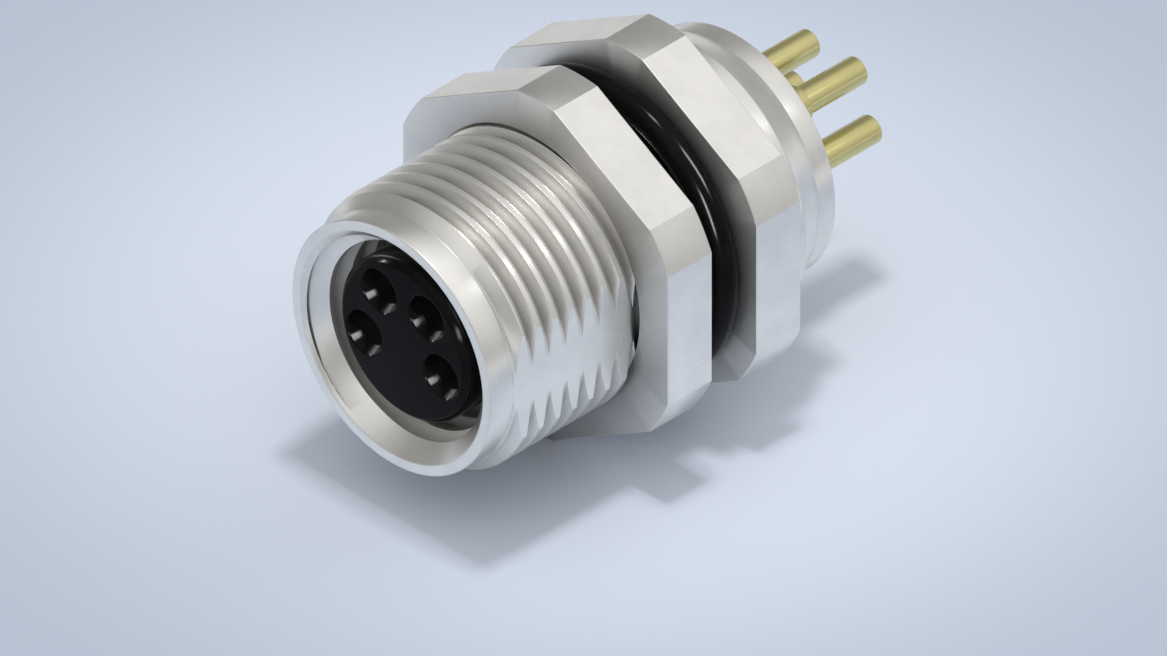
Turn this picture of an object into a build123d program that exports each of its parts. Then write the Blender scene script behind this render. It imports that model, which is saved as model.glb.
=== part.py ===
from build123d import *
import math
import os

os.makedirs("parts", exist_ok=True)

# Circular four-way sensor socket for a panel, in millimetres.
# The axis of the socket lies along Y. The origin is on that axis, in the front face of the
# flange, where the panel seats. The plug comes in from -Y and the solder pins leave at +Y.

# Plug thread, inside the shell: M8 x 1
plug_thread_nominal = 8.0
plug_thread_height = 0.54
plug_thread_pitch = 1.0
plug_thread_length = 5.5
plug_thread_phase = 0.48
plug_relief_depth = 0.05
plug_relief_length = 1.0
mouth_depth = 0.12

# Panel thread, outside the shell: M10 x 0.75, a wall's thickness further out
thread_wall = 0.55
panel_root_depth = 0.45
panel_crest_depth = 0.08
panel_thread_pitch = 0.75
panel_thread_length = 8.4
panel_thread_phase = 0.66
flat_depth = 0.05

# Both threads
thread_flank_angle = 30.0
cutter_overshoot = 0.1

# Shell
rim_depth = 0.05
rim_length = 1.0
neck_depth = 0.06
neck_length = 1.1
web_thickness = 1.0
rear_wall = 0.89
tail_wall = 0.85
tail_step_length = 1.0
tail_cone_drop = 0.8
tail_cone_angle = 30.0
tail_length = 0.76

# Hexagons of the flange and of the panel nut, from the panel thread outwards
hexagon_wall = 1.08
hexagon_corner_standout = 0.5
flange_thickness = 2.0
nut_thickness = 2.0
nut_gap_to_flange = 2.0
nut_clearance = 0.05
nut_bore_chamfer = 0.1

# O-rings
panel_seal_section = 1.0
carrier_seal_section = 0.8
seal_clearance = 0.01

# Contact carrier
carrier_diameter = 5.9
carrier_setback = 0.5
carrier_edge = 0.23
carrier_clearance = 0.05
carrier_shoulder_length = 4.0
carrier_groove_offset = 1.0
carrier_groove_width = 1.1
pin_entry_mouth = 1.56
pin_entry_depth = 0.4
pin_entry_diameter = 1.24

# Contacts
contact_circle = 3.6
upper_contact_angle = 53.5
lower_contact_angle = -16.2
contact_setback = 1.3
contact_diameter = 1.3
contact_clearance = 0.05
contact_edge = 0.06
contact_bore = 1.03
contact_bore_depth = 4.5
drill_point_angle = 59.0
contact_slot_width = 0.18
contact_slot_length = 3.6
collar_diameter = 1.6
collar_thickness = 0.6
shank_diameter = 1.34
shank_projection = 1.68
pin_diameter = 1.0
pin_length = 2.67
pin_tip_chamfer = 0.08

# Rear insulator and potting
insulator_thickness = 1.4
potting_recess = 0.3
potting_dish = 0.12
potting_clearance = 0.01

# Places along the axis
seat = 0.0
neck_front = seat - neck_length
thread_front = neck_front - panel_thread_length
rim_front = thread_front - rim_length
flange_back = seat + flange_thickness
step_back = flange_back + tail_step_length
cone_back = step_back + tail_cone_drop / math.tan(math.radians(tail_cone_angle))
tail_back = cone_back + tail_length
carrier_front = rim_front + carrier_setback
plug_thread_back = carrier_front + plug_thread_length
cavity_floor = plug_thread_back + plug_relief_length
web_back = cavity_floor + web_thickness
groove_front = web_back + carrier_groove_offset
groove_back = groove_front + carrier_groove_width
carrier_back = web_back + carrier_shoulder_length
insulator_back = carrier_back + insulator_thickness
potting_back = tail_back - potting_recess
contact_front = carrier_front + contact_setback
contact_bore_back = contact_front + contact_bore_depth
collar_front = carrier_back - collar_thickness
shank_back = tail_back + shank_projection
pin_back = shank_back + pin_length
nut_back = seat - nut_gap_to_flange

# Radii that follow from the sizes above
plug_root_radius = plug_thread_nominal / 2
plug_crest_radius = plug_root_radius - plug_thread_height
relief_radius = plug_root_radius + plug_relief_depth
mouth_radius = plug_root_radius + mouth_depth
root_radius = plug_root_radius + thread_wall
panel_radius = root_radius + panel_root_depth
crest_radius = panel_radius - panel_crest_depth
rim_radius = root_radius - rim_depth
neck_radius = root_radius - neck_depth
flat_distance = root_radius - flat_depth
tail_bore_radius = neck_radius - rear_wall
tail_radius = tail_bore_radius + tail_wall
tail_step_radius = tail_radius + tail_cone_drop
hexagon_inradius = crest_radius + hexagon_wall
corner_radius = hexagon_inradius + hexagon_corner_standout
web_radius = carrier_diameter / 2 + carrier_clearance
insert_radius = tail_bore_radius - carrier_clearance
groove_radius = tail_bore_radius - carrier_seal_section - 2 * seal_clearance

contact_places = [
    (contact_circle / 2 * math.cos(math.radians(angle)), contact_circle / 2 * math.sin(math.radians(angle)))
    for angle in (
        upper_contact_angle,
        180 - upper_contact_angle,
        180 - lower_contact_angle,
        lower_contact_angle,
    )
]


def across(y):
    """The plane across the axis at y, facing the front, with X to the right and Z up."""
    return Plane(origin=(0, y, 0), x_dir=(1, 0, 0), z_dir=(0, -1, 0))


def sharp_height(pitch):
    """Height of the sharp triangle that a thread of this pitch is cut from."""
    return pitch / 2 / math.tan(math.radians(thread_flank_angle))


def thread_grooves(pitch, root_radius, root_width, open_radius, first_y, last_y):
    """The grooves of a thread as a stack of rings, each with the groove's true section.

    The rings are one pitch apart. A thread of this size leads by about 2 degrees only, so rings
    give its look and its fits.
    """
    reach = open_radius - root_radius
    open_width = root_width + 2 * abs(reach) * math.tan(math.radians(thread_flank_angle))
    turns = int((last_y - first_y) / pitch) + 1
    with BuildPart() as cutter:
        with BuildSketch(Plane.XY):
            with Locations([(root_radius, first_y + turn * pitch) for turn in range(turns)]):
                Polygon(
                    (0, -root_width / 2),
                    (reach, -open_width / 2),
                    (reach, open_width / 2),
                    (0, root_width / 2),
                    align=None,
                )
        revolve(axis=Axis.Y)
    return cutter.part


def finish(builder, name):
    """Label a finished piece and write it as a STEP file."""
    builder.part.label = name
    export_step(builder.part, f"parts/{name}.step")


# The panel thread's groove narrows to its root, well outside its own sharp point
panel_sharp_radius = panel_radius - 7 / 8 * sharp_height(panel_thread_pitch)
panel_grooves = thread_grooves(
    panel_thread_pitch,
    root_radius,
    2 * (root_radius - panel_sharp_radius) * math.tan(math.radians(thread_flank_angle)),
    crest_radius + cutter_overshoot,
    thread_front + panel_thread_phase,
    neck_front,
)

# The plug thread's groove opens towards the axis
plug_grooves = thread_grooves(
    plug_thread_pitch,
    plug_root_radius,
    plug_thread_pitch / 8,
    plug_crest_radius - cutter_overshoot,
    rim_front + plug_thread_phase,
    plug_thread_back,
)

# Shell: turned and bored, threaded outside and inside, then milled flat on two sides
with BuildPart() as shell:
    with BuildSketch(Plane.XY):
        with BuildLine():
            Polyline(
                (mouth_radius, rim_front),
                (rim_radius, rim_front),
                (rim_radius, thread_front),
                (crest_radius, thread_front + crest_radius - rim_radius),
                (crest_radius, neck_front),
                (neck_radius, neck_front),
                (neck_radius, seat),
                (tail_step_radius, seat),
                (tail_step_radius, step_back),
                (tail_radius, cone_back),
                (tail_radius, tail_back),
                (tail_bore_radius, tail_back),
                (tail_bore_radius, web_back),
                (web_radius, web_back),
                (web_radius, cavity_floor),
                (relief_radius, cavity_floor),
                (relief_radius, plug_thread_back),
                (plug_crest_radius, plug_thread_back),
                (plug_crest_radius, rim_front + mouth_radius - plug_crest_radius),
                close=True,
            )
        make_face()
    revolve(axis=Axis.Y)
    with BuildSketch(across(flange_back)):
        RegularPolygon(hexagon_inradius, 6, major_radius=False, rotation=30)
        Circle(corner_radius, mode=Mode.INTERSECT)
        Circle(tail_bore_radius + cutter_overshoot, mode=Mode.SUBTRACT)
    extrude(amount=flange_thickness)
    add(panel_grooves, mode=Mode.SUBTRACT)
    add(plug_grooves, mode=Mode.SUBTRACT)
    with BuildSketch(across(neck_front)):
        for side in (-1, 1):
            with Locations((side * (flat_distance + crest_radius / 2), 0)):
                Rectangle(crest_radius, 2 * crest_radius)
    extrude(amount=panel_thread_length, mode=Mode.SUBTRACT)
finish(shell, "shell")

# Panel nut: a thin hexagon whose bore clears the thread's crest
with BuildPart() as panel_nut:
    with BuildSketch(across(nut_back)):
        RegularPolygon(hexagon_inradius, 6, major_radius=False, rotation=30)
        Circle(corner_radius, mode=Mode.INTERSECT)
        Circle(crest_radius + nut_clearance, mode=Mode.SUBTRACT)
    extrude(amount=nut_thickness)
    bore_edges = panel_nut.edges().filter_by(GeomType.CIRCLE).group_by(SortBy.RADIUS)[0]
    chamfer(bore_edges, nut_bore_chamfer)
finish(panel_nut, "panel_nut")

# Panel seal: an O-ring on the neck, against the flange
with BuildPart() as panel_seal:
    with BuildSketch(Plane.XY):
        with Locations(
            (
                neck_radius + seal_clearance + panel_seal_section / 2,
                seat - seal_clearance - panel_seal_section / 2,
            )
        ):
            Circle(panel_seal_section / 2)
    revolve(axis=Axis.Y)
finish(panel_seal, "panel_seal")

# Contact carrier: its shoulder seats on the web from behind and holds the carrier seal
with BuildPart() as contact_carrier:
    with BuildSketch(Plane.XY):
        with BuildLine():
            Polyline(
                (0, carrier_front),
                (carrier_diameter / 2 - carrier_edge, carrier_front),
                (carrier_diameter / 2, carrier_front + carrier_edge),
                (carrier_diameter / 2, web_back),
                (insert_radius, web_back),
                (insert_radius, groove_front),
                (groove_radius, groove_front),
                (groove_radius, groove_back),
                (insert_radius, groove_back),
                (insert_radius, carrier_back),
                (0, carrier_back),
                close=True,
            )
        make_face()
    revolve(axis=Axis.Y)
    with Locations(across(carrier_front)):
        with Locations(contact_places):
            CounterSinkHole(
                pin_entry_diameter / 2,
                pin_entry_mouth / 2,
                depth=contact_setback,
                counter_sink_angle=2
                * math.degrees(math.atan((pin_entry_mouth - pin_entry_diameter) / 2 / pin_entry_depth)),
            )
    with BuildSketch(across(carrier_back)):
        with Locations(contact_places):
            Circle(contact_diameter / 2 + contact_clearance)
    extrude(amount=carrier_back - contact_front, mode=Mode.SUBTRACT)
    with BuildSketch(across(carrier_back)):
        with Locations(contact_places):
            Circle(collar_diameter / 2 + contact_clearance)
    extrude(amount=collar_thickness, mode=Mode.SUBTRACT)
finish(contact_carrier, "contact_carrier")

# Carrier seal: an O-ring in the carrier's groove, against the rear bore
with BuildPart() as carrier_seal:
    with BuildSketch(Plane.XY):
        with Locations(
            (groove_radius + seal_clearance + carrier_seal_section / 2, (groove_front + groove_back) / 2)
        ):
            Circle(carrier_seal_section / 2)
    revolve(axis=Axis.Y)
finish(carrier_seal, "carrier_seal")

# Rear insulator: a disc that traps the contacts' collars in the carrier
with BuildPart() as rear_insulator:
    with BuildSketch(across(insulator_back)):
        Circle(insert_radius)
        with Locations(contact_places):
            Circle(shank_diameter / 2 + contact_clearance, mode=Mode.SUBTRACT)
    extrude(amount=insulator_thickness)
finish(rear_insulator, "rear_insulator")

# Potting: resin poured into the tail, with a dished surface
with BuildPart() as potting:
    with BuildSketch(Plane.XY):
        with BuildLine():
            edge = (tail_bore_radius - potting_clearance, potting_back)
            Polyline((0, potting_back - potting_dish), (0, insulator_back), (edge[0], insulator_back), edge)
            TangentArc((0, potting_back - potting_dish), edge, tangent=(1, 0))
        make_face()
    revolve(axis=Axis.Y)
    with BuildSketch(across(tail_back)):
        with Locations(contact_places):
            Circle(shank_diameter / 2 + potting_clearance)
    extrude(amount=tail_back - insulator_back, mode=Mode.SUBTRACT)
finish(potting, "potting")

# Contacts: turned in one piece, with a slotted bore in front and a solder pin behind
for number, (x, z) in enumerate(contact_places, start=1):
    with BuildPart() as contact:
        with BuildSketch(Plane(origin=(x, 0, z), x_dir=(1, 0, 0), z_dir=(0, 0, 1))):
            with BuildLine():
                Polyline(
                    (contact_bore / 2 + contact_edge, contact_front),
                    (contact_diameter / 2 - contact_edge, contact_front),
                    (contact_diameter / 2, contact_front + contact_edge),
                    (contact_diameter / 2, collar_front),
                    (collar_diameter / 2, collar_front),
                    (collar_diameter / 2, carrier_back),
                    (shank_diameter / 2, carrier_back),
                    (shank_diameter / 2, shank_back),
                    (pin_diameter / 2, shank_back),
                    (pin_diameter / 2, pin_back - pin_tip_chamfer),
                    (pin_diameter / 2 - pin_tip_chamfer, pin_back),
                    (0, pin_back),
                    (0, contact_bore_back + contact_bore / 2 / math.tan(math.radians(drill_point_angle))),
                    (contact_bore / 2, contact_bore_back),
                    (contact_bore / 2, contact_front + contact_edge),
                    close=True,
                )
            make_face()
        revolve(axis=Axis((x, 0, z), (0, 1, 0)))
        with BuildSketch(across(contact_front)):
            with Locations((x, z)):
                Rectangle(contact_slot_width, 2 * contact_diameter)
        extrude(amount=-contact_slot_length, mode=Mode.SUBTRACT)
    finish(contact, f"contact_{number}")
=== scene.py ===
"""A circular four-way sensor socket for a panel, dressed around its CAD frame.

The socket lies along Y: the plug comes in from -Y and the solder pins leave at +Y. Each
piece is shaped in millimetres, in the frame's own place, and becomes metres when finished.
"""

import logging
import math
from collections.abc import Callable, Sequence
from dataclasses import dataclass, field
from enum import Enum
from typing import Any

import bmesh
import bpy
from bmesh.types import BMesh, BMFace, BMVert
from mathutils import Matrix, Vector


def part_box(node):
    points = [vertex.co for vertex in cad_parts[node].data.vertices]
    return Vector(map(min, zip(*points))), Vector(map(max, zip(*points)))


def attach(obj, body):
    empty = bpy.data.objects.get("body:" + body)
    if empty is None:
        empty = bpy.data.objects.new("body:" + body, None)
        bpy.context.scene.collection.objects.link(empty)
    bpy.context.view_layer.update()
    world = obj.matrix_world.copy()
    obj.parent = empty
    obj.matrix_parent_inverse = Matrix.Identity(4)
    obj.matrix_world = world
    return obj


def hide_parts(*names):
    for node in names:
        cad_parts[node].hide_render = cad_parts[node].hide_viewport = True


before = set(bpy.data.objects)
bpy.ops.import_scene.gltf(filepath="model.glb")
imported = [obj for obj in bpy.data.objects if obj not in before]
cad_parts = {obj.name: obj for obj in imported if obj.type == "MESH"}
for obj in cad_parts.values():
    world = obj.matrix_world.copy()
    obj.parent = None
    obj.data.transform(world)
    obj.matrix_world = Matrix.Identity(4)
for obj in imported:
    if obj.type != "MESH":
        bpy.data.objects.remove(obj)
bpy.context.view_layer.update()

log = logging.getLogger("sensor_socket")

METRES_PER_MM = 0.001
FLANK_SLOPE = math.tan(math.radians(30.0))
LATHE_STEPS = 192
SMALL_LATHE_STEPS = 64
THREAD_STEPS = 96
SHARP_ANGLE = math.radians(20.0)
WELD_DISTANCE = 1e-5
# How far a plain cutter runs past what it cuts, in millimetres
OVERSHOOT = 1.0
# Faces that lie this near a plane belong to it, in millimetres
IN_PLANE = 0.01
# A face looks along Y when its normal's Y is over the first, and stands along Y when under the second
LOOKS_ALONG = 0.99
STANDS_ALONG = 0.1


class Operation(Enum):
    """What a tool does to the solid that it meets."""

    CUT = "DIFFERENCE"
    JOIN = "UNION"
    TRIM = "INTERSECT"


class Body(Enum):
    """The CAD bodies that pieces ride on."""

    SOCKET = "socket"
    NUT = "nut"


@dataclass(frozen=True)
class Corner:
    """One corner of a lathe profile, with the size of its rounding."""

    radius: float
    y: float
    rounding: float = 0.0


def turned(
    profile: Sequence[Corner], centre: tuple[float, float] = (0.0, 0.0), steps: int = LATHE_STEPS
) -> BMesh:
    """Turn a closed profile around an axis along Y.

    Args:
        profile: The corners in order. Where they reach the axis, the solid is closed there.
        centre: X and Z of the axis.
        steps: Facets around the full turn.

    Returns:
        The closed solid.
    """
    solid = bmesh.new()
    x, z = centre
    corners = [solid.verts.new((x + corner.radius, corner.y, z)) for corner in profile]
    solid.faces.new(corners)
    for vertex, corner in zip(corners, profile):
        if corner.rounding:
            bmesh.ops.bevel(
                solid,
                geom=[vertex],
                offset=corner.rounding,
                offset_type="OFFSET",
                segments=4,
                profile=0.5,
                affect="VERTICES",
                material=-1,
            )
    bmesh.ops.delete(solid, geom=solid.faces[:], context="FACES_ONLY")
    on_axis = [e for e in solid.edges if all(v.co.x - x < WELD_DISTANCE for v in e.verts)]
    bmesh.ops.delete(solid, geom=on_axis, context="EDGES")
    bmesh.ops.spin(
        solid,
        geom=solid.verts[:] + solid.edges[:],
        cent=(x, 0.0, z),
        axis=(0.0, 1.0, 0.0),
        angle=math.tau,
        steps=steps,
        use_merge=True,
    )
    bmesh.ops.remove_doubles(solid, verts=solid.verts[:], dist=WELD_DISTANCE)
    bmesh.ops.recalc_face_normals(solid, faces=solid.faces[:])
    return solid


def rod(
    radius: float,
    front: float,
    back: float,
    centre: tuple[float, float] = (0.0, 0.0),
    steps: int = LATHE_STEPS,
) -> BMesh:
    """Make a plain round cutter along Y that runs past both ends of its cut.

    Args:
        radius: The cutter's radius.
        front: Where the cut starts.
        back: Where the cut ends.
        centre: X and Z of the axis.
        steps: Facets around the full turn.

    Returns:
        The closed cutter.
    """
    start, end = front - OVERSHOOT, back + OVERSHOOT
    profile = [Corner(0, start), Corner(radius, start), Corner(radius, end), Corner(0, end)]
    return turned(profile, centre, steps)


def block(low: tuple[float, float, float], high: tuple[float, float, float]) -> BMesh:
    """Make a rectangular cutter.

    Args:
        low: Its lowest corner.
        high: Its highest corner.

    Returns:
        The closed cutter.
    """
    solid = bmesh.new()
    size = Vector(high) - Vector(low)
    place = Matrix.Translation((Vector(low) + Vector(high)) / 2) @ Matrix.Diagonal((*size, 1.0))
    bmesh.ops.create_cube(solid, size=1.0, matrix=place)
    return solid


def gathered(solids: Sequence[BMesh]) -> BMesh:
    """Gather separate solids, so that they can act together.

    Args:
        solids: The solids. All are used up but the first, which takes in the others.

    Returns:
        The first solid with the others in it.
    """
    whole = solids[0]
    for solid in solids[1:]:
        carried = bpy.data.meshes.new("carried")
        solid.to_mesh(carried)
        solid.free()
        whole.from_mesh(carried)
        bpy.data.meshes.remove(carried)
    return whole


def worked(solid: BMesh, tool: BMesh, operation: Operation) -> BMesh:
    """Cut, join or trim a solid with a tool.

    Args:
        solid: The solid to work on. It is used up.
        tool: The other solid. It is used up too.
        operation: What the tool does.

    Returns:
        The new solid.
    """
    holders = []
    for part in (solid, tool):
        mesh = bpy.data.meshes.new("on_the_bench")
        part.to_mesh(mesh)
        part.free()
        holder = bpy.data.objects.new("on_the_bench", mesh)
        bpy.context.scene.collection.objects.link(holder)
        holders.append(holder)
    work = holders[0].modifiers.new("work", "BOOLEAN")
    work.object = holders[1]
    work.operation = operation.value
    work.solver = "EXACT"
    result = bmesh.new()
    result.from_object(holders[0], bpy.context.evaluated_depsgraph_get())
    for holder in holders:
        mesh = holder.data
        bpy.data.objects.remove(holder)
        bpy.data.meshes.remove(mesh)
    bmesh.ops.remove_doubles(result, verts=result.verts[:], dist=WELD_DISTANCE)
    return result


@dataclass(frozen=True)
class Hexagon:
    """A plate of hexagonal bar, turned down at its corners."""

    width: float = 12.0
    corner_diameter: float = 13.0
    broken_edge: float = 0.05

    def plate(self, front: float, back: float) -> BMesh:
        """Saw off a plate that has corners at its top and bottom.

        Args:
            front: Where it starts along Y.
            back: Where it ends along Y.

        Returns:
            The closed solid.
        """
        solid = bmesh.new()
        upright = Matrix.Translation((0.0, front, 0.0)) @ Matrix.Rotation(math.radians(90.0), 4, "X")
        bmesh.ops.create_circle(
            solid, cap_ends=True, segments=6, radius=self.width / math.sqrt(3.0), matrix=upright
        )
        pushed = bmesh.ops.extrude_face_region(solid, geom=solid.faces[:])
        moved = [item for item in pushed["geom"] if isinstance(item, BMVert)]
        bmesh.ops.translate(solid, verts=moved, vec=(0.0, back - front, 0.0))
        bmesh.ops.recalc_face_normals(solid, faces=solid.faces[:])
        solid = worked(solid, rod(self.corner_diameter / 2, front, back), Operation.TRIM)
        outline = [
            edge
            for edge in solid.edges
            if len(edge.link_faces) == 2
            and abs(abs(edge.link_faces[0].normal.y) - abs(edge.link_faces[1].normal.y)) > 0.5
        ]
        bmesh.ops.bevel(
            solid,
            geom=outline,
            offset=self.broken_edge,
            offset_type="OFFSET",
            segments=3,
            profile=0.5,
            affect="EDGES",
            material=-1,
        )
        return solid

    def is_flat(self, face: BMFace) -> bool:
        """Whether a face lies in one of the hexagon's flats."""
        on_flat = abs(face.normal.dot(face.calc_center_median()) - self.width / 2) < IN_PLANE
        return on_flat and abs(face.normal.y) < STANDS_ALONG


@dataclass(frozen=True)
class Thread:
    """A right-hand thread with 60 degree flanks, given by its groove."""

    pitch: float
    root_radius: float
    root_width: float
    top_y: float

    def groove(self, open_radius: float, first_y: float, last_y: float) -> BMesh:
        """Make the cutter of the helical groove.

        Args:
            open_radius: Where the cutter ends, just past the thread's crest.
            first_y: A place in front of the first turn.
            last_y: Where the last turn ends.

        Returns:
            The closed cutter.
        """
        start = self.top_y + math.floor((first_y - self.top_y) / self.pitch) * self.pitch
        turns = (last_y - start) / self.pitch
        steps = round(turns * THREAD_STEPS)
        open_width = self.root_width + 2 * abs(open_radius - self.root_radius) * FLANK_SLOPE
        solid = bmesh.new()
        section = [
            solid.verts.new((0.0, start + along, radius))
            for radius, along in (
                (self.root_radius, -self.root_width / 2),
                (open_radius, -open_width / 2),
                (open_radius, open_width / 2),
                (self.root_radius, self.root_width / 2),
            )
        ]
        first = solid.faces.new(section)
        bmesh.ops.spin(
            solid,
            geom=[first, *first.edges[:], *section],
            cent=(0.0, 0.0, 0.0),
            axis=(0.0, 1.0, 0.0),
            dvec=(0.0, turns * self.pitch / steps, 0.0),
            angle=turns * math.tau,
            steps=steps,
        )
        bmesh.ops.recalc_face_normals(solid, faces=solid.faces[:])
        return solid


def linear(hex_colour: str) -> tuple[float, float, float, float]:
    """Turn an sRGB colour to linear values.

    Args:
        hex_colour: Six hex digits, such as "C8C6C0".

    Returns:
        Red, green, blue and alpha.
    """
    values = [int(hex_colour[i : i + 2], 16) / 255.0 for i in (0, 2, 4)]
    red, green, blue = (v / 12.92 if v <= 0.04045 else ((v + 0.055) / 1.055) ** 2.4 for v in values)
    return red, green, blue, 1.0


def add_node(
    tree: bpy.types.NodeTree,
    kind: str,
    settings: dict[str | int, Any] | None = None,
    links: dict[str | int, Any] | None = None,
) -> bpy.types.Node:
    """Add a node with its settings and links.

    Args:
        tree: The node tree.
        kind: The node's type name.
        settings: Its own properties by name, or its sockets' values by name or number.
        links: The output that feeds each of its sockets.

    Returns:
        The node.
    """
    node = tree.nodes.new(kind)
    for name, value in (settings or {}).items():
        if isinstance(name, str) and name in node.bl_rna.properties:
            setattr(node, name, value)
        else:
            node.inputs[name].default_value = value
    for name, source in (links or {}).items():
        tree.links.new(source, node.inputs[name])
    return node


def layered(
    tree: bpy.types.NodeTree, base: str, layers: Sequence[tuple[bpy.types.NodeSocket, str]]
) -> bpy.types.NodeSocket:
    """Lay colours over a base colour, each by its own share.

    Args:
        tree: The node tree.
        base: The base colour, as hex.
        layers: Each layer's share and its hex colour, the lowest first.

    Returns:
        The output with the colour on top.
    """
    under: dict[str | int, Any] = {}
    for share, colour in layers:
        tone = add_node(
            tree,
            "ShaderNodeMix",
            {"data_type": "RGBA", "A": linear(base), "B": linear(colour)},
            {"Factor": share, **under},
        )
        under = {"A": tone.outputs["Result"]}
    return under["A"]


def per_mm(size_mm: float) -> float:
    """The texture scale at which one feature is about this many millimetres."""
    return 1.0 / (size_mm * METRES_PER_MM)


@dataclass(frozen=True)
class Finish:
    """What all finishes share: a name, a base colour and how rough the surface is."""

    name: str
    colour: str
    roughness: float

    def start(self) -> tuple[bpy.types.Material, bpy.types.NodeTree, bpy.types.Node, bpy.types.Node]:
        """Make the material with its shader and its object coordinates.

        Returns:
            The material, its tree, its shader and its coordinates node.
        """
        material = bpy.data.materials.new(self.name)
        material.use_nodes = True
        tree = material.node_tree
        tree.nodes.clear()
        shader = add_node(
            tree,
            "ShaderNodeBsdfPrincipled",
            {"Base Color": linear(self.colour), "Roughness": self.roughness},
        )
        add_node(tree, "ShaderNodeOutputMaterial", links={"Surface": shader.outputs["BSDF"]})
        place = add_node(tree, "ShaderNodeTexCoord")
        return material, tree, shader, place


@dataclass(frozen=True)
class TurnedPlating(Finish):
    """Metal plate over turned brass: the lathe's feed marks run round the Y axis under the plate."""

    dull_colour: str = "DAD9D6"
    roughness_spread: float = 0.008
    feed_mm: float = 0.12
    mark_depth_mm: float = 0.00004
    edge_round_mm: float = 0.012
    cloud_mm: float = 1.6
    # Painted shade: the colour that inner corners darken towards, and how far the darkening reaches
    painted_shade_colour: str = ""
    painted_shade_reach_mm: float = 3.0

    def marks(self, tree: bpy.types.NodeTree, place: bpy.types.Node) -> bpy.types.NodeSocket:
        """Make coordinates in which a pattern turns into rings around the axis.

        Args:
            tree: The node tree.
            place: The coordinates node.

        Returns:
            The radius and the place along the axis, as a vector.
        """
        parts = add_node(tree, "ShaderNodeSeparateXYZ", links={0: place.outputs["Object"]})
        flat = add_node(tree, "ShaderNodeCombineXYZ", links={0: parts.outputs[0], 1: parts.outputs[2]})
        radius = add_node(tree, "ShaderNodeVectorMath", {"operation": "LENGTH"}, {0: flat.outputs[0]})
        rings = add_node(
            tree, "ShaderNodeCombineXYZ", links={0: radius.outputs["Value"], 1: parts.outputs[1]}
        )
        return rings.outputs[0]

    def build(self) -> bpy.types.Material:
        """Make the material: feed marks, cloudy plate, painted shade in inner corners where a shade
        colour is given, and softly rounded edges.

        Returns:
            The material.
        """
        material, tree, shader, place = self.start()
        shader.inputs["Metallic"].default_value = 1.0
        feed = add_node(
            tree,
            "ShaderNodeTexNoise",
            {"Scale": per_mm(self.feed_mm), "Detail": 2.0, "Roughness": 0.6},
            {"Vector": self.marks(tree, place)},
        )
        # Plate is slightly cloudy, in patches of a millimetre or two
        cloud = add_node(
            tree,
            "ShaderNodeTexNoise",
            {"Scale": per_mm(self.cloud_mm), "Detail": 4.0, "Roughness": 0.55},
            {"Vector": place.outputs["Object"]},
        )
        dull = add_node(
            tree,
            "ShaderNodeMapRange",
            {"From Min": 0.4, "From Max": 0.75, "To Min": 0.0, "To Max": 0.6},
            {"Value": cloud.outputs["Fac"]},
        )
        plate = layered(tree, self.colour, [(dull.outputs["Result"], self.dull_colour)])
        if self.painted_shade_colour:
            # Painted shade: the plate's colour darkens towards the shade colour in inner corners, driven
            # by ambient occlusion
            reach = self.painted_shade_reach_mm * METRES_PER_MM
            ambient_occlusion = add_node(tree, "ShaderNodeAmbientOcclusion", {"samples": 8, "Distance": reach})
            corner = add_node(
                tree,
                "ShaderNodeMix",
                {"data_type": "RGBA", "A": linear(self.painted_shade_colour)},
                {"Factor": ambient_occlusion.outputs["AO"], "B": plate},
            )
            plate = corner.outputs["Result"]
        tree.links.new(plate, shader.inputs["Base Color"])
        gloss = add_node(
            tree,
            "ShaderNodeMapRange",
            {
                "From Min": 0.3,
                "From Max": 0.7,
                "To Min": self.roughness - self.roughness_spread,
                "To Max": self.roughness + self.roughness_spread,
            },
            {"Value": feed.outputs["Fac"]},
        )
        tree.links.new(gloss.outputs["Result"], shader.inputs["Roughness"])
        edge_round = self.edge_round_mm * METRES_PER_MM
        edge = add_node(tree, "ShaderNodeBevel", {"samples": 6, "Radius": edge_round})
        bump = add_node(
            tree,
            "ShaderNodeBump",
            {"Strength": 1.0, "Distance": self.mark_depth_mm * METRES_PER_MM},
            {"Height": feed.outputs["Fac"], "Normal": edge.outputs["Normal"]},
        )
        tree.links.new(bump.outputs["Normal"], shader.inputs["Normal"])
        return material


@dataclass(frozen=True)
class DrawnPlating(TurnedPlating):
    """The same plate over drawn bar: the die's fine lines run along Y on the flats."""

    def marks(self, tree: bpy.types.NodeTree, place: bpy.types.Node) -> bpy.types.NodeSocket:
        """Make coordinates in which a pattern turns into lines along the bar.

        Args:
            tree: The node tree.
            place: The coordinates node.

        Returns:
            The place, drawn out along Y.
        """
        lines = add_node(
            tree, "ShaderNodeMapping", {"Scale": (1.0, 0.03, 1.0)}, {"Vector": place.outputs["Object"]}
        )
        return lines.outputs["Vector"]


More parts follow.
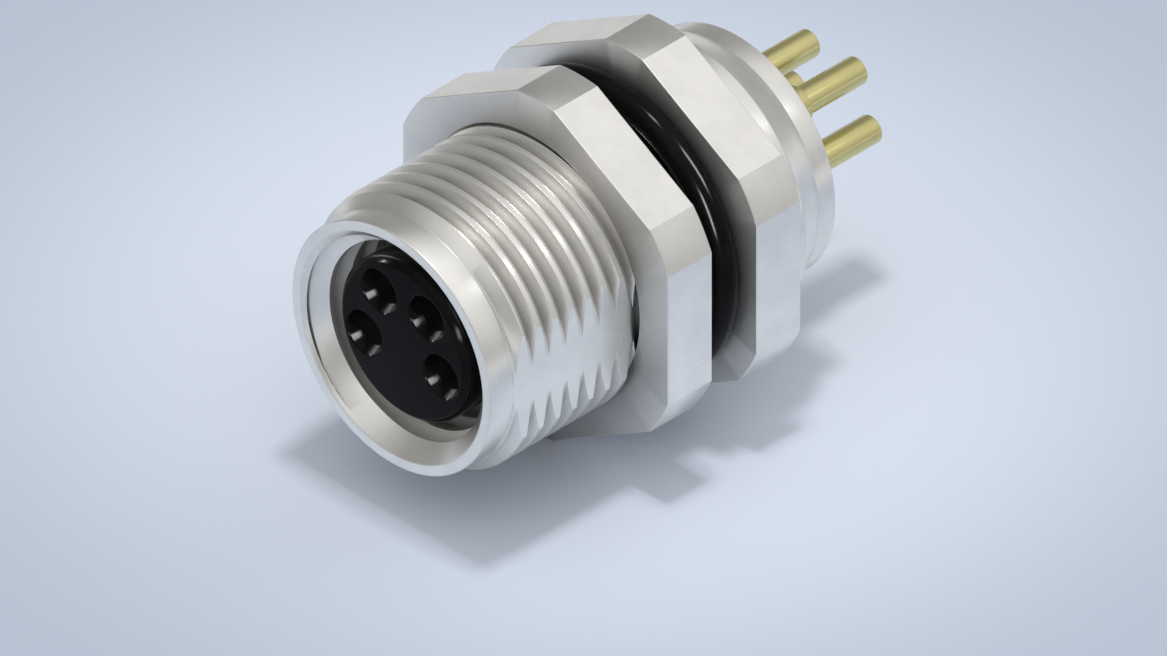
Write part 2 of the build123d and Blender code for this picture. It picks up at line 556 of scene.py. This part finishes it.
@dataclass(frozen=True)
class MouldedBlack(Finish):
    """A black moulded surface: an even, very fine grain from the mould, and a soft sheen."""

    specular: float = 0.2
    grain_mm: float = 0.06
    grain_depth_mm: float = 0.0003
    light_colour: str = "080808"
    patch_mm: float = 1.2
    edge_round_mm: float = 0.03

    def build(self) -> bpy.types.Material:
        """Make the material: mould grain, slight tone changes and rounded edges.

        Returns:
            The material.
        """
        material, tree, shader, place = self.start()
        shader.inputs["Specular IOR Level"].default_value = self.specular
        grain = add_node(
            tree,
            "ShaderNodeTexNoise",
            {"Scale": per_mm(self.grain_mm), "Detail": 2.0},
            {"Vector": place.outputs["Object"]},
        )
        patch = add_node(
            tree,
            "ShaderNodeTexNoise",
            {"Scale": per_mm(self.patch_mm), "Detail": 3.0},
            {"Vector": place.outputs["Object"]},
        )
        share = add_node(
            tree,
            "ShaderNodeMapRange",
            {"From Min": 0.4, "From Max": 0.8, "To Min": 0.0, "To Max": 0.6},
            {"Value": patch.outputs["Fac"]},
        )
        tone = layered(tree, self.colour, [(share.outputs["Result"], self.light_colour)])
        tree.links.new(tone, shader.inputs["Base Color"])
        edge_round = self.edge_round_mm * METRES_PER_MM
        edge = add_node(tree, "ShaderNodeBevel", {"samples": 6, "Radius": edge_round})
        bump = add_node(
            tree,
            "ShaderNodeBump",
            {"Strength": 1.0, "Distance": self.grain_depth_mm * METRES_PER_MM},
            {"Height": grain.outputs["Fac"], "Normal": edge.outputs["Normal"]},
        )
        tree.links.new(bump.outputs["Normal"], shader.inputs["Normal"])
        return material


# Bright nickel plate on brass: light grey and satin, with painted shade down in the thread's grooves
NICKEL_TURNED = TurnedPlating(
    "nickel_plate_turned", colour="EFEDE8", roughness=0.28, painted_shade_colour="979694", painted_shade_reach_mm=0.5
)
# Nickel plate on the flats of drawn hexagonal bar: fine straight lines along the bar
NICKEL_DRAWN = DrawnPlating("nickel_plate_drawn", colour="F2F0EC", roughness=0.28)
# Nickel plate on ends that were faced with a broad tool: softer than the rest; its paler colour is
# painted light, lifting the shade that these faces reflect from the floor
NICKEL_FACED_PAINTED_LIGHT = TurnedPlating(
    "nickel_plate_faced_painted_light", colour="FAF9F6", roughness=0.45, dull_colour="EBEAE8"
)
# Nickel plate down in the threaded hole: duller, since the plate grows slowly there
NICKEL_BORED = TurnedPlating("nickel_plate_bored", colour="EFEDE8", roughness=0.6)
# The faced plate on the nut's front: its paler colour is painted light, and it has painted shade in the
# corner along its bore
NICKEL_NUT_FRONT_PAINTED_LIGHT_AND_SHADE = TurnedPlating(
    "nickel_nut_front_painted_light_and_shade",
    colour="F6F5F2",
    roughness=0.5,
    dull_colour="E6E5E3",
    painted_shade_colour="7C7C7A",
    painted_shade_reach_mm=2.5,
)
# Gold flash on turned brass: a pale, slightly greenish yellow with a satin gleam
GOLD_TURNED = TurnedPlating(
    "gold_plate_turned", colour="D9D093", roughness=0.26, dull_colour="C8BF86", feed_mm=0.08
)
# Nitrile rubber from a polished mould: deep black with a clear soft sheen
RUBBER = MouldedBlack("nitrile_rubber_moulded", colour="020202", roughness=0.16, specular=0.08)
# Glass-filled nylon, moulded: black, glossy on its face
NYLON = MouldedBlack("black_nylon_moulded", colour="030303", roughness=0.14, specular=0.07)
# Epoxy resin, poured and cured: black and smooth like still liquid
RESIN = MouldedBlack(
    "black_epoxy_cured", colour="0A0A0B", roughness=0.1, specular=0.3, grain_depth_mm=0.0001
)


def whole_surface(_face: BMFace) -> int:
    """The first finish everywhere."""
    return 0


def finished(
    solid: BMesh,
    name: str,
    materials: Sequence[bpy.types.Material],
    pick: Callable[[BMFace], int] = whole_surface,
) -> bpy.types.Object:
    """Turn a solid in millimetres into a finished object in metres.

    Args:
        solid: The solid, which is used up.
        name: The object's name.
        materials: Its finishes, in the order of their slots.
        pick: Gives the slot number of a face.

    Returns:
        The object, in place.
    """
    solid.normal_update()
    for face in solid.faces:
        face.smooth = True
        face.material_index = pick(face)
    for edge in solid.edges:
        edge.smooth = edge.calc_face_angle(math.pi) < SHARP_ANGLE
    many_sided = [face for face in solid.faces if len(face.verts) > 4]
    bmesh.ops.triangulate(solid, faces=many_sided, quad_method="BEAUTY", ngon_method="BEAUTY")
    bmesh.ops.scale(solid, vec=(METRES_PER_MM,) * 3, verts=solid.verts[:])
    mesh = bpy.data.meshes.new(name)
    solid.to_mesh(mesh)
    solid.free()
    for material in materials:
        mesh.materials.append(material)
    piece = bpy.data.objects.new(name, mesh)
    bpy.context.scene.collection.objects.link(piece)
    shading = piece.modifiers.new("even_shading", "WEIGHTED_NORMAL")
    shading.keep_sharp = True
    log.info("%s: %d faces", name, len(mesh.polygons))
    return piece


def node_box_mm(node: str) -> tuple[Vector, Vector]:
    """A CAD node's box, in millimetres."""
    low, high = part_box(node)
    return low / METRES_PER_MM, high / METRES_PER_MM


# Where each groove crosses the top of the shell, measured back from the rim in millimetres
PANEL_THREAD_TOP = 0.16
PLUG_THREAD_TOP = -0.52


@dataclass
class Shell:
    """The turned and plated shell: threaded nose, hexagonal flange and tapered tail."""

    low: Vector
    high: Vector
    hexagon: Hexagon = field(default_factory=Hexagon)
    seat: float = 0.0
    crest_radius: float = 4.92
    root_radius: float = 4.55
    panel_pitch: float = 0.75
    panel_root_width: float = 0.1366
    rim_radius: float = 4.5
    rim_length: float = 1.0
    mouth_radius: float = 4.12
    bore_radius: float = 3.46
    plug_root_radius: float = 4.0
    plug_pitch: float = 1.0
    plug_thread_back: float = -4.5
    relief_radius: float = 4.05
    cavity_floor: float = -3.5
    web_radius: float = 3.0
    web_back: float = -2.5
    neck_radius: float = 4.49
    neck_front: float = -1.1
    flange_back: float = 2.0
    step_radius: float = 5.25
    step_back: float = 3.0
    tail_radius: float = 4.45
    tail_bore: float = 3.6
    flat_distance: float = 4.501
    fine_edge: float = 0.04
    edge: float = 0.05
    tail_edge: float = 0.06
    flange_root: float = 0.5
    groove_clearance: float = 0.1
    plug_run_out: float = 0.5
    mill_run_out: float = 0.3

    @property
    def panel_thread(self) -> Thread:
        """The M10 x 0.75 thread outside."""
        return Thread(
            self.panel_pitch, self.root_radius, self.panel_root_width, self.low.y + PANEL_THREAD_TOP
        )

    @property
    def plug_thread(self) -> Thread:
        """The M8 x 1 thread inside."""
        return Thread(
            self.plug_pitch, self.plug_root_radius, self.plug_pitch / 8, self.low.y + PLUG_THREAD_TOP
        )

    def blank(self) -> BMesh:
        """Turn and bore the body, without flange and threads.

        Returns:
            The closed solid.
        """
        rim, tail = self.low.y, self.high.y
        thread_front = rim + self.rim_length
        inside_flange = self.seat + self.flange_root
        cone_back = self.step_back + (self.step_radius - self.tail_radius) / FLANK_SLOPE
        return turned(
            [
                Corner(self.mouth_radius, rim, self.fine_edge),
                Corner(self.rim_radius, rim, self.edge),
                Corner(self.rim_radius, thread_front),
                Corner(self.crest_radius, thread_front + self.crest_radius - self.rim_radius),
                Corner(self.crest_radius, self.neck_front),
                Corner(self.neck_radius, self.neck_front),
                Corner(self.neck_radius, inside_flange),
                Corner(self.step_radius, inside_flange),
                Corner(self.step_radius, self.step_back, self.fine_edge),
                Corner(self.tail_radius, cone_back),
                Corner(self.tail_radius, tail, self.tail_edge),
                Corner(self.tail_bore, tail, self.tail_edge),
                Corner(self.tail_bore, self.web_back),
                Corner(self.web_radius, self.web_back),
                Corner(self.web_radius, self.cavity_floor, self.edge),
                Corner(self.relief_radius, self.cavity_floor),
                Corner(self.relief_radius, self.plug_thread_back),
                Corner(self.bore_radius, self.plug_thread_back),
                Corner(self.bore_radius, rim + self.mouth_radius - self.bore_radius),
            ]
        )

    def build(self) -> BMesh:
        """Cut both threads, mill the two flats and join the flange.

        Returns:
            The closed solid.
        """
        panel_groove = self.panel_thread.groove(
            self.crest_radius + self.groove_clearance, self.low.y, self.neck_front / 2
        )
        plug_groove = self.plug_thread.groove(
            self.bore_radius - self.groove_clearance,
            self.low.y - self.groove_clearance,
            self.plug_thread_back + self.plug_run_out,
        )
        body = worked(self.blank(), panel_groove, Operation.CUT)
        body = worked(body, plug_groove, Operation.CUT)
        flat_front = self.low.y + self.rim_length
        flat_back = self.neck_front + self.mill_run_out
        reach = self.crest_radius + OVERSHOOT
        mills = [
            block((self.flat_distance, flat_front, -reach), (reach, flat_back, reach)),
            block((-reach, flat_front, -reach), (-self.flat_distance, flat_back, reach)),
        ]
        body = worked(body, gathered(mills), Operation.CUT)
        flange = self.hexagon.plate(self.seat, self.flange_back)
        hub = (self.tail_bore + self.neck_radius) / 2
        flange = worked(flange, rod(hub, self.seat, self.flange_back), Operation.CUT)
        return worked(body, flange, Operation.JOIN)

    def pick(self, face: BMFace) -> int:
        """Choose a face's finish.

        Args:
            face: The face.

        Returns:
            1 (drawn) on the flange's flats, 2 (faced, painted paler as painted light) on the flange's
            front and the rim's,
            3 (bored) in the plug's hole behind its mouth, and otherwise 0 (turned, with painted shade in
            its grooves).
        """
        if self.hexagon.is_flat(face):
            return 1
        middle = face.calc_center_median()
        off_ends = min(abs(middle.y - end) for end in (self.seat, self.low.y))
        if face.normal.y < -LOOKS_ALONG and off_ends < IN_PLANE:
            return 2
        in_hole = math.hypot(middle.x, middle.z) < self.relief_radius and middle.y < self.web_back
        on_mouth = middle.y < self.low.y + self.mouth_radius - self.bore_radius
        return 3 if in_hole and not on_mouth else 0

    def dress(self, nickel: Sequence[bpy.types.Material]) -> None:
        """Finish the shell and hand it to the frame.

        Args:
            nickel: The plated finishes, in the order of pick's numbers.
        """
        piece = finished(self.build(), "turned_shell", nickel, self.pick)
        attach(piece, Body.SOCKET.value)
        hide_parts("shell")


@dataclass
class LockNut:
    """The thin hexagonal nut, with a thread that meets the shell's own."""

    low: Vector
    high: Vector
    shell: Shell
    hexagon: Hexagon = field(default_factory=Hexagon)
    minor_radius: float = 4.57
    major_radius: float = 5.0
    major_width: float = 0.114
    countersink_radius: float = 4.63
    groove_clearance: float = 0.08

    def build(self) -> BMesh:
        """Bore, countersink and thread the nut.

        Returns:
            The closed solid.
        """
        front, back = self.low.y, self.high.y
        sink = self.countersink_radius - self.minor_radius
        plate = self.hexagon.plate(front, back)
        bore = turned(
            [
                Corner(0, front - OVERSHOOT),
                Corner(self.countersink_radius + OVERSHOOT, front - OVERSHOOT),
                Corner(self.minor_radius, front + sink),
                Corner(self.minor_radius, back - sink),
                Corner(self.countersink_radius + OVERSHOOT, back + OVERSHOOT),
                Corner(0, back + OVERSHOOT),
            ]
        )
        plate = worked(plate, bore, Operation.CUT)
        thread = Thread(
            self.shell.panel_pitch,
            self.major_radius,
            self.major_width,
            self.shell.low.y + PANEL_THREAD_TOP + self.shell.panel_pitch / 2,
        )
        groove = thread.groove(
            self.minor_radius - self.groove_clearance, front - OVERSHOOT, back + OVERSHOOT
        )
        return worked(plate, groove, Operation.CUT)

    def pick(self, face: BMFace) -> int:
        """Choose a face's finish.

        Args:
            face: The face.

        Returns:
            1 (drawn) on the flats, 4 (faced, painted paler with painted shade along its bore) on the
            front, 2 (faced, painted paler) on the back, and otherwise 0 (turned, with painted shade in
            its grooves).
        """
        if self.hexagon.is_flat(face):
            return 1
        if abs(face.normal.y) < LOOKS_ALONG:
            return 0
        return 4 if face.normal.y < 0.0 else 2

    def dress(self, nickel: Sequence[bpy.types.Material]) -> None:
        """Finish the nut and hand it to the frame.

        Args:
            nickel: The plated finishes, in the order of pick's numbers.
        """
        piece = finished(self.build(), "lock_nut", nickel, self.pick)
        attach(piece, Body.NUT.value)
        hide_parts("panel_nut")


@dataclass
class PanelSeal:
    """The O-ring on the neck, with the fine flash line of its two-part mould."""

    low: Vector
    high: Vector
    flash: float = 0.012
    section_steps: int = 40

    def build(self) -> BMesh:
        """Turn a round section around the axis.

        Returns:
            The closed solid.
        """
        radius = (self.high.y - self.low.y) / 2
        middle = (self.high.y + self.low.y) / 2
        centre = Vector((self.high.x - radius, middle, 0.0))
        solid = bmesh.new()
        bmesh.ops.create_circle(
            solid, segments=self.section_steps, radius=radius, matrix=Matrix.Translation(centre)
        )
        for vertex in solid.verts:
            if abs(vertex.co.y - middle) < WELD_DISTANCE:
                vertex.co.x += math.copysign(self.flash, vertex.co.x - centre.x) - self.flash
        bmesh.ops.spin(
            solid,
            geom=solid.verts[:] + solid.edges[:],
            cent=(0.0, 0.0, 0.0),
            axis=(0.0, 1.0, 0.0),
            angle=math.tau,
            steps=LATHE_STEPS,
            use_merge=True,
        )
        bmesh.ops.remove_doubles(solid, verts=solid.verts[:], dist=WELD_DISTANCE)
        bmesh.ops.recalc_face_normals(solid, faces=solid.faces[:])
        return solid

    def dress(self, rubber: bpy.types.Material) -> None:
        """Finish the O-ring and hand it to the frame.

        Args:
            rubber: Its finish.
        """
        piece = finished(self.build(), "panel_o_ring", [rubber])
        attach(piece, Body.SOCKET.value)
        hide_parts("panel_seal")


@dataclass
class Contact:
    """One turned contact: a slotted bore in front and a solder pin behind."""

    number: int
    low: Vector
    high: Vector
    radius: float = 0.65
    bore_radius: float = 0.515
    bore_depth: float = 4.5
    slot_width: float = 0.18
    slot_length: float = 3.6
    collar_radius: float = 0.8
    collar_front: float = 0.9
    collar_back: float = 1.5
    shank_radius: float = 0.67
    shank_back: float = 6.8256
    pin_radius: float = 0.5
    edge: float = 0.05
    collar_edge: float = 0.04
    pin_edge: float = 0.09
    drill_point: float = 0.3

    @property
    def centre(self) -> tuple[float, float]:
        """X and Z of the contact's own axis."""
        middle = (self.low + self.high) / 2
        return middle.x, middle.z

    def build(self) -> BMesh:
        """Turn the contact and saw its slot.

        Returns:
            The closed solid.
        """
        front, back = self.low.y, self.high.y
        bore_back = front + self.bore_depth
        solid = turned(
            [
                Corner(self.bore_radius, front, self.edge),
                Corner(self.radius, front, self.edge),
                Corner(self.radius, self.collar_front),
                Corner(self.collar_radius, self.collar_front, self.collar_edge),
                Corner(self.collar_radius, self.collar_back, self.collar_edge),
                Corner(self.shank_radius, self.collar_back),
                Corner(self.shank_radius, self.shank_back, self.edge),
                Corner(self.pin_radius, self.shank_back),
                Corner(self.pin_radius, back, self.pin_edge),
                Corner(0, back),
                Corner(0, bore_back + self.drill_point),
                Corner(self.bore_radius, bore_back),
            ],
            self.centre,
            SMALL_LATHE_STEPS,
        )
        x, z = self.centre
        saw = block(
            (x - self.slot_width / 2, front - OVERSHOOT, z - OVERSHOOT),
            (x + self.slot_width / 2, front + self.slot_length, z + OVERSHOOT),
        )
        return worked(solid, saw, Operation.CUT)

    def dress(self, gold: bpy.types.Material) -> None:
        """Finish the contact and hand it to the frame.

        Args:
            gold: Its finish.
        """
        piece = finished(self.build(), f"plated_contact_{self.number}", [gold])
        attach(piece, Body.SOCKET.value)
        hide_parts(f"contact_{self.number}")


@dataclass
class ContactInsert:
    """The black insert that holds the contacts in the middle of the shell."""

    low: Vector
    high: Vector
    contacts: Sequence[Contact]
    nose_radius: float = 2.95
    nose_edge: float = 0.23
    web_back: float = -2.5
    shoulder_radius: float = 3.55
    groove_front: float = -1.5
    groove_back: float = -0.4
    groove_radius: float = 2.78
    entry_mouth: float = 0.78
    entry_radius: float = 0.62
    entry_depth: float = 0.4
    lip: float = 0.04
    contact_clearance: float = 0.05
    end_play: float = 0.01
    overcut: float = 0.1
    edge: float = 0.05
    nose_round: float = 0.1

    def entry(self, contact: Contact) -> BMesh:
        """Make the cutter of one contact's place: a countersunk entry, then its own bore.

        Args:
            contact: The contact.

        Returns:
            The closed cutter.
        """
        front, back = self.low.y, self.high.y
        seat = contact.radius + self.contact_clearance
        collar = contact.collar_radius + self.contact_clearance
        return turned(
            [
                Corner(0, front - self.overcut),
                Corner(self.entry_mouth + self.lip + self.overcut, front - self.overcut),
                Corner(self.entry_mouth, front + self.lip),
                Corner(self.entry_radius, front + self.entry_depth),
                Corner(self.entry_radius, contact.low.y - self.end_play),
                Corner(seat, contact.low.y - self.end_play),
                Corner(seat, contact.collar_front - self.end_play),
                Corner(collar, contact.collar_front - self.end_play),
                Corner(collar, back + self.overcut),
                Corner(0, back + self.overcut),
            ],
            contact.centre,
            SMALL_LATHE_STEPS,
        )

    def build(self) -> BMesh:
        """Mould the insert with its four openings.

        Returns:
            The closed solid.
        """
        front, back = self.low.y, self.high.y
        solid = turned(
            [
                Corner(0, front),
                Corner(self.nose_radius - self.nose_edge, front, self.edge),
                Corner(self.nose_radius, front + self.nose_edge, self.nose_round),
                Corner(self.nose_radius, self.web_back),
                Corner(self.shoulder_radius, self.web_back, self.edge),
                Corner(self.shoulder_radius, self.groove_front, self.edge),
                Corner(self.groove_radius, self.groove_front),
                Corner(self.groove_radius, self.groove_back),
                Corner(self.shoulder_radius, self.groove_back, self.edge),
                Corner(self.shoulder_radius, back, self.edge),
                Corner(0, back),
            ]
        )
        return worked(solid, gathered([self.entry(contact) for contact in self.contacts]), Operation.CUT)

    def dress(self, nylon: bpy.types.Material, gold: bpy.types.Material) -> None:
        """Finish the insert and its contacts and hand them to the frame.

        Args:
            nylon: The insert's finish.
            gold: The contacts' finish.
        """
        piece = finished(self.build(), "contact_insert", [nylon])
        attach(piece, Body.SOCKET.value)
        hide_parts("contact_carrier")
        for contact in self.contacts:
            contact.dress(gold)


@dataclass
class Potting:
    """The resin in the tail: a dished surface that climbs a little up each contact."""

    low: Vector
    high: Vector
    contacts: Sequence[Contact]
    dish: float = 0.12
    dish_radius: float = 2.2
    dish_round: float = 1.2
    climb: float = 0.16
    climb_round: float = 0.8
    climb_root: float = 0.5
    film: float = 0.03
    sunk: float = 0.02
    spread: float = 0.1
    clearance: float = 0.01

    def build(self) -> BMesh:
        """Pour the resin around the contacts.

        Returns:
            The closed solid.
        """
        edge = (self.high.x - self.low.x) / 2
        front, back = self.low.y, self.high.y
        surface = back - self.dish
        solid = turned(
            [
                Corner(0, front),
                Corner(edge, front),
                Corner(edge, back),
                Corner(self.dish_radius, surface, self.dish_round),
                Corner(0, surface),
            ]
        )
        collars, holes = [], []
        for contact in self.contacts:
            shank = contact.shank_radius
            foot = shank + self.climb + self.spread
            film = shank + self.film
            collars.append(
                turned(
                    [
                        Corner(shank, surface - self.climb_root),
                        Corner(foot, surface - self.climb_root),
                        Corner(foot, surface - self.sunk),
                        Corner(film, surface + self.sunk, self.climb * self.climb_round),
                        Corner(film, surface + self.climb),
                        Corner(shank, surface + self.climb),
                    ],
                    contact.centre,
                    SMALL_LATHE_STEPS,
                )
            )
            hole = shank + self.clearance
            holes.append(rod(hole, front, back, contact.centre, SMALL_LATHE_STEPS))
        solid = worked(solid, gathered(collars), Operation.JOIN)
        return worked(solid, gathered(holes), Operation.CUT)

    def dress(self, resin: bpy.types.Material) -> None:
        """Finish the resin and hand it to the frame.

        Args:
            resin: Its finish.
        """
        piece = finished(self.build(), "potting_fill", [resin])
        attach(piece, Body.SOCKET.value)
        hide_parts("potting")


def paint_node(node: str, material: bpy.types.Material) -> None:
    """Give a carried-over CAD node its finish.

    Args:
        node: The node's name.
        material: The finish.
    """
    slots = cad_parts[node].data.materials
    slots.clear()
    slots.append(material)
    log.info("%s: CAD node, %s", node, material.name)


@dataclass(frozen=True)
class Lamp:
    """An oblong lamp that shines at the socket: from where, how large and how strong."""

    name: str
    direction: tuple[float, float, float]
    width_mm: float
    height_mm: float
    watts: float
    only_on: str = ""
    distance_mm: float = 150.0

    def hang(self, aim_mm: Sequence[float]) -> None:
        """Hang the lamp upright and turn it to the place it shines at.

        A lamp that shines on one piece only is an accent: it draws the thin highlight by which
        a glossy black surface shows its form, and throws no shadow.

        Args:
            aim_mm: The place it shines at.
        """
        lamp = bpy.data.lights.new(self.name, "AREA")
        lamp.shape = "RECTANGLE"
        lamp.size = self.width_mm * METRES_PER_MM
        lamp.size_y = self.height_mm * METRES_PER_MM
        lamp.energy = self.watts
        lamp.use_shadow = not self.only_on
        holder = bpy.data.objects.new(self.name, lamp)
        away = Vector(self.direction).normalized()
        holder.location = (Vector(aim_mm) + away * self.distance_mm) * METRES_PER_MM
        holder.rotation_euler = (-away).to_track_quat("-Z", "Y").to_euler()
        bpy.context.scene.collection.objects.link(holder)
        if self.only_on:
            lit = bpy.data.collections.new(f"lit_by_{self.name}")
            lit.objects.link(bpy.data.objects[self.only_on])
            holder.light_linking.receiver_collection = lit


@dataclass(frozen=True)
class Glow:
    """A soft patch in the sky: where it is, how it falls off and its colour."""

    direction: tuple[float, float, float]
    edge: float
    colour: str


@dataclass(frozen=True)
class PaperRing:
    """A change of the paper's tone between two distances from its middle."""

    start_mm: float
    end_mm: float
    colour: str


@dataclass
class Studio:
    """A pale floor under soft studio light, and the camera at the photograph's angle."""

    floor_z_mm: float = -6.5
    floor_radius_mm: float = 600.0
    floor_centre_mm: tuple[float, float] = (-3.0, 1.1)
    paper_colour: str = "DDE5F3"
    paper_rings: tuple[PaperRing, ...] = (
        PaperRing(8.0, 26.0, "B9C3D3"),
        PaperRing(29.0, 45.0, "F4F4F4"),
        PaperRing(80.0, 160.0, "A6A8AC"),
    )
    sky_colour: str = "AEAEAE"
    glows: tuple[Glow, ...] = (
        Glow((0.42, 0.52, 0.74), 0.5, "E9E9E9"),
        Glow((0.1, -0.75, 0.66), 0.85, "E0E0E0"),
        Glow((-0.75, 0.0, 0.66), 0.45, "8F8F8F"),
        Glow((0.1, -0.15, 0.98), 0.5, "FFFFFF"),
    )
    lamps: tuple[Lamp, ...] = (
        Lamp("overhead_lamp", (0.03, 0.0, 1.0), 18.0, 18.0, 0.073),
        Lamp("rear_right_strip", (0.48, 0.58, 0.66), 6.0, 30.0, 0.0025),
        Lamp("ring_rear_strip", (0.6, 0.43, 0.67), 26.0, 80.0, 0.42, "panel_o_ring"),
        Lamp("ring_front_strip", (0.78, -0.56, 0.25), 26.0, 70.0, 0.42, "panel_o_ring"),
        Lamp("insert_right_lamp", (0.75, -0.2, 0.63), 30.0, 80.0, 0.5, "contact_insert"),
        Lamp("insert_left_lamp", (-0.89, -0.35, 0.3), 14.0, 10.0, 0.03, "contact_insert"),
        Lamp("insert_rear_lamp", (-0.92, 0.13, 0.37), 30.0, 80.0, 0.7, "contact_insert"),
        Lamp("insert_front_lamp", (0.6, -0.78, 0.16), 20.0, 30.0, 0.05, "contact_insert"),
    )
    target_mm: tuple[float, float, float] = (3.541, -5.362, 0.0)
    frame_width_mm: float = 37.284
    camera_distance_mm: float = 120.0

    def floor_paper(self) -> bpy.types.Material:
        """Make matt paper: pale under the socket, darker around it, pale again, then grey.

        Returns:
            The material.
        """
        material = bpy.data.materials.new("matt_paper_floor")
        material.use_nodes = True
        tree = material.node_tree
        shader = tree.nodes["Principled BSDF"]
        shader.inputs["Roughness"].default_value = 0.9
        shader.inputs["Specular IOR Level"].default_value = 0.1
        place = add_node(tree, "ShaderNodeTexCoord")
        x, y = (value * METRES_PER_MM for value in self.floor_centre_mm)
        floor_z = self.floor_z_mm * METRES_PER_MM
        apart = add_node(
            tree,
            "ShaderNodeVectorMath",
            {"operation": "DISTANCE", 1: (x, y, floor_z)},
            {0: place.outputs["Object"]},
        )
        layers = []
        for ring in self.paper_rings:
            share = add_node(
                tree,
                "ShaderNodeMapRange",
                {
                    "interpolation_type": "SMOOTHSTEP",
                    "From Min": ring.start_mm * METRES_PER_MM,
                    "From Max": ring.end_mm * METRES_PER_MM,
                },
                {"Value": apart.outputs["Value"]},
            )
            layers.append((share.outputs["Result"], ring.colour))
        tree.links.new(layered(tree, self.paper_colour, layers), shader.inputs["Base Color"])
        return material

    def lay_floor(self) -> None:
        """Lay the floor under the socket's lowest corners."""
        solid = bmesh.new()
        level = Matrix.Translation((0.0, 0.0, self.floor_z_mm * METRES_PER_MM))
        radius = self.floor_radius_mm * METRES_PER_MM
        bmesh.ops.create_circle(solid, cap_ends=True, segments=64, radius=radius, matrix=level)
        mesh = bpy.data.meshes.new("studio_floor")
        solid.to_mesh(mesh)
        solid.free()
        mesh.materials.append(self.floor_paper())
        floor = bpy.data.objects.new("studio_floor", mesh)
        bpy.context.scene.collection.objects.link(floor)

    def paint_sky(self) -> None:
        """Paint a grey studio with soft glows behind, in front, at the left and overhead."""
        world = bpy.data.worlds.new("studio_sky")
        world.use_nodes = True
        tree = world.node_tree
        place = add_node(tree, "ShaderNodeTexCoord")
        layers = []
        for glow in self.glows:
            towards = add_node(
                tree,
                "ShaderNodeVectorMath",
                {"operation": "DOT_PRODUCT", 1: Vector(glow.direction).normalized()},
                {0: place.outputs["Generated"]},
            )
            share = add_node(
                tree,
                "ShaderNodeMapRange",
                {"interpolation_type": "SMOOTHSTEP", "From Min": glow.edge, "From Max": 1.0},
                {"Value": towards.outputs["Value"]},
            )
            layers.append((share.outputs["Result"], glow.colour))
        sky = layered(tree, self.sky_colour, layers)
        tree.links.new(sky, tree.nodes["Background"].inputs["Color"])
        bpy.context.scene.world = world

    def place_camera(self) -> None:
        """Look at the socket square-on to its cube's corner, without perspective."""
        camera = bpy.data.cameras.new("photo_camera")
        camera.type = "ORTHO"
        camera.ortho_scale = self.frame_width_mm * METRES_PER_MM
        camera.clip_start = 0.001
        camera.clip_end = 2.0
        holder = bpy.data.objects.new("photo_camera", camera)
        back = Vector((1.0, -1.0, 1.0)).normalized()
        holder.location = (Vector(self.target_mm) + back * self.camera_distance_mm) * METRES_PER_MM
        holder.rotation_euler = (-back).to_track_quat("-Z", "Y").to_euler()
        bpy.context.scene.collection.objects.link(holder)
        bpy.context.scene.camera = holder

    def build(self) -> None:
        """Set up the whole studio."""
        self.lay_floor()
        self.paint_sky()
        for lamp in self.lamps:
            lamp.hang(self.target_mm)
        self.place_camera()
        bpy.context.scene.view_settings.view_transform = "Standard"


def main() -> None:
    """Build and dress every piece, then the studio."""
    logging.basicConfig(level=logging.INFO, format="%(name)s %(message)s")
    plates = (NICKEL_TURNED, NICKEL_DRAWN, NICKEL_FACED_PAINTED_LIGHT, NICKEL_BORED, NICKEL_NUT_FRONT_PAINTED_LIGHT_AND_SHADE)
    nickel = [plate.build() for plate in plates]
    gold, rubber, nylon, resin = (finish.build() for finish in (GOLD_TURNED, RUBBER, NYLON, RESIN))
    shell = Shell(*node_box_mm("shell"))
    shell.dress(nickel)
    LockNut(*node_box_mm("panel_nut"), shell).dress(nickel)
    PanelSeal(*node_box_mm("panel_seal")).dress(rubber)
    contacts = [Contact(number, *node_box_mm(f"contact_{number}")) for number in range(1, 5)]
    ContactInsert(*node_box_mm("contact_carrier"), contacts).dress(nylon, gold)
    Potting(*node_box_mm("potting"), contacts).dress(resin)
    paint_node("carrier_seal", rubber)
    paint_node("rear_insulator", nylon)
    Studio().build()


if __name__ == "__main__":
    main()
